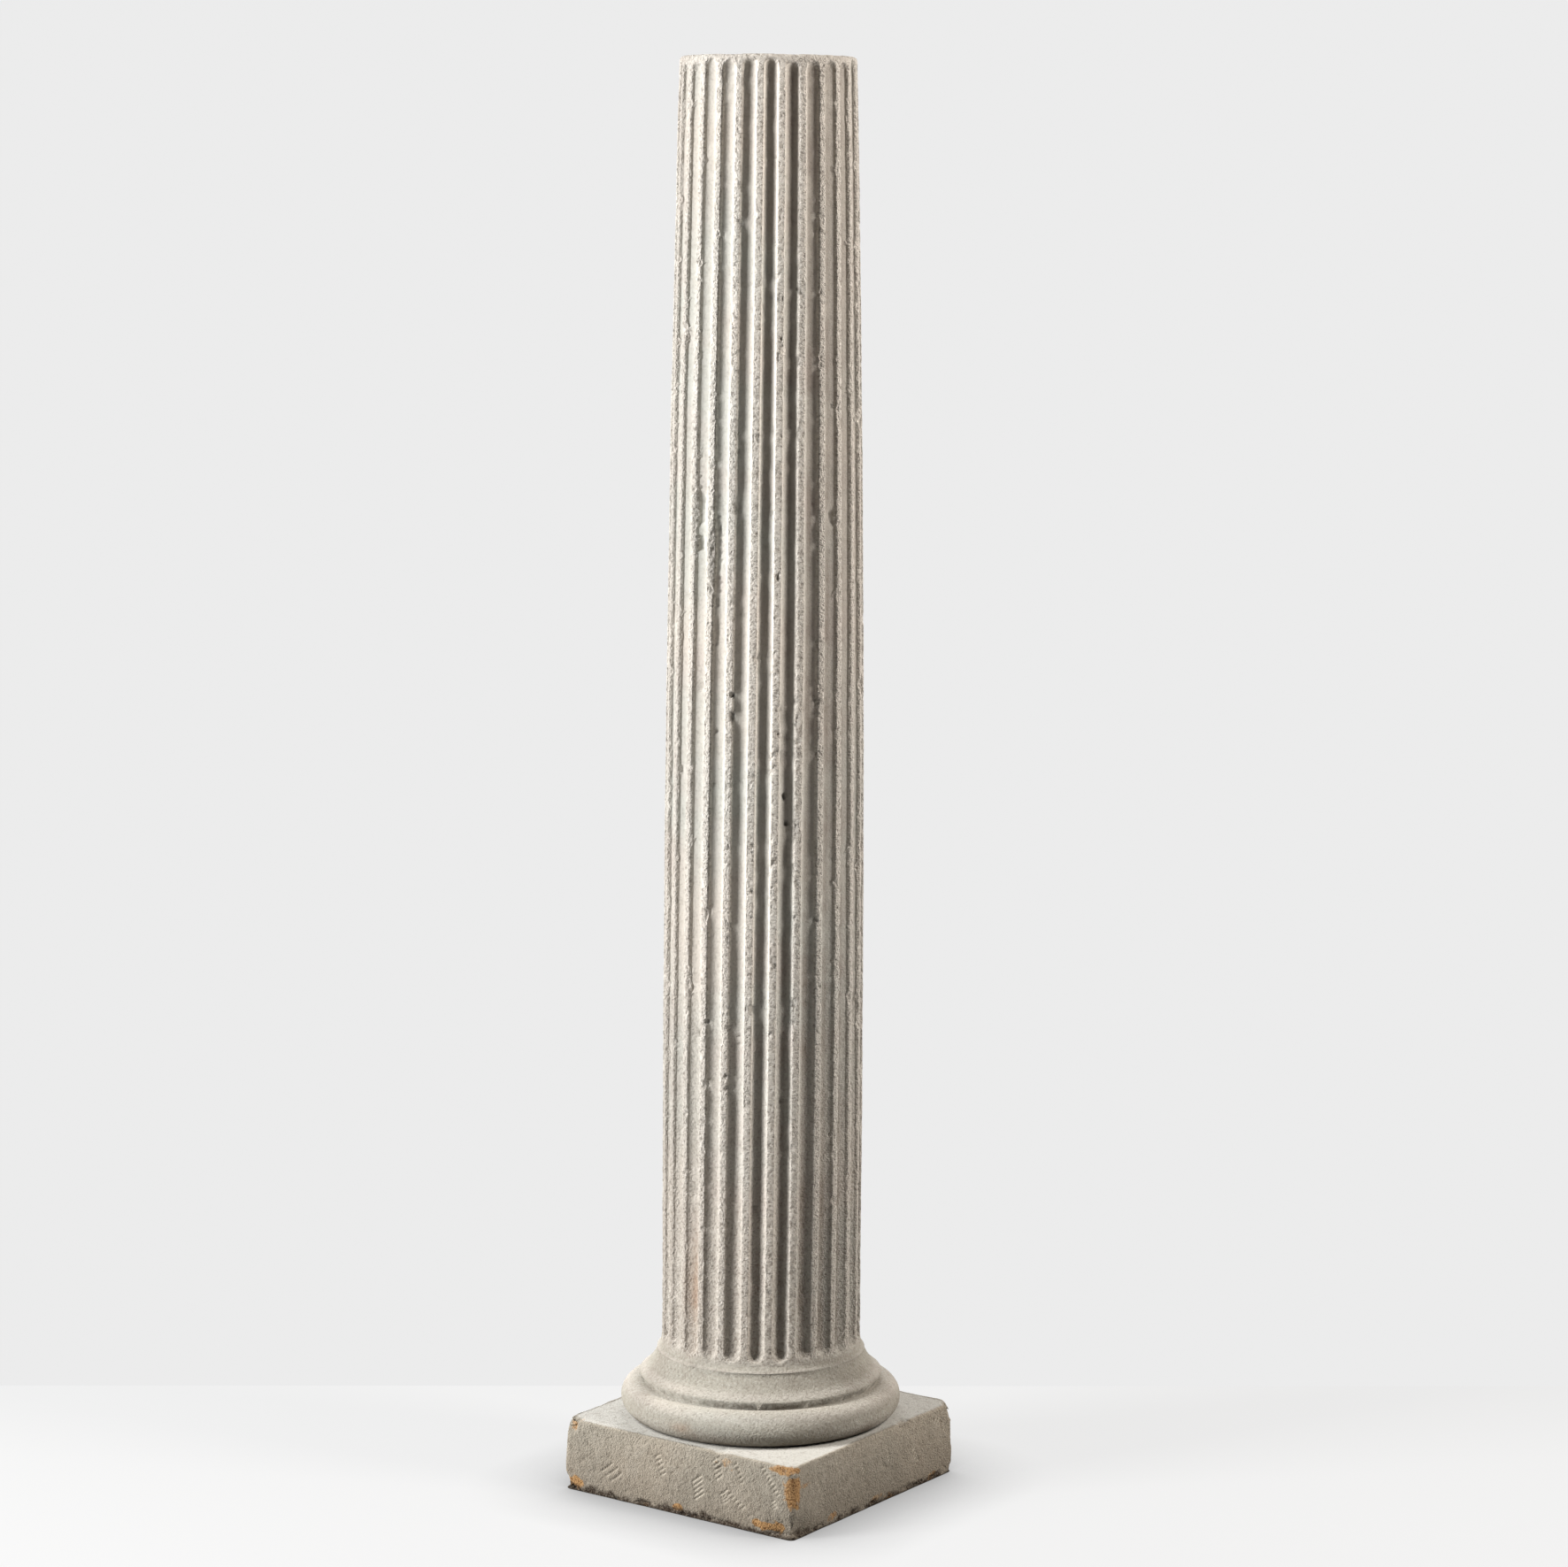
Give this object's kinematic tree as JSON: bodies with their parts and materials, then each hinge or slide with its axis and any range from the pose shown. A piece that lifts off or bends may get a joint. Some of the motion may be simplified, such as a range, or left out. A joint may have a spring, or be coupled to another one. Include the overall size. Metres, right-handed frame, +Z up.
{
  "type": "fluted stone column with a moulded base and plinth, without a capital",
  "caption": "Tapering fluted column shaft of weathered sandstone with a moulded base on a square tooled plinth, cut flat at the top.",
  "frame": {"origin": "centre of the plinth's underside", "axes": "+Z up along the column's axis, with X and Y along the plinth's sides; the picture shows the -Y and +X sides"},
  "size_m": [0.36, 0.36, 1.81],
  "materials": {
    "tooled_stone": "rough chiselled sandstone, browned and grimy at the foot",
    "carved_stone": "weathered cream sandstone, granular, with dirt in the flutes"
  },
  "bodies": {
    "root": {"plinth": "tooled_stone", "fluted_shaft": "carved_stone"}
  },
  "joints": []
}
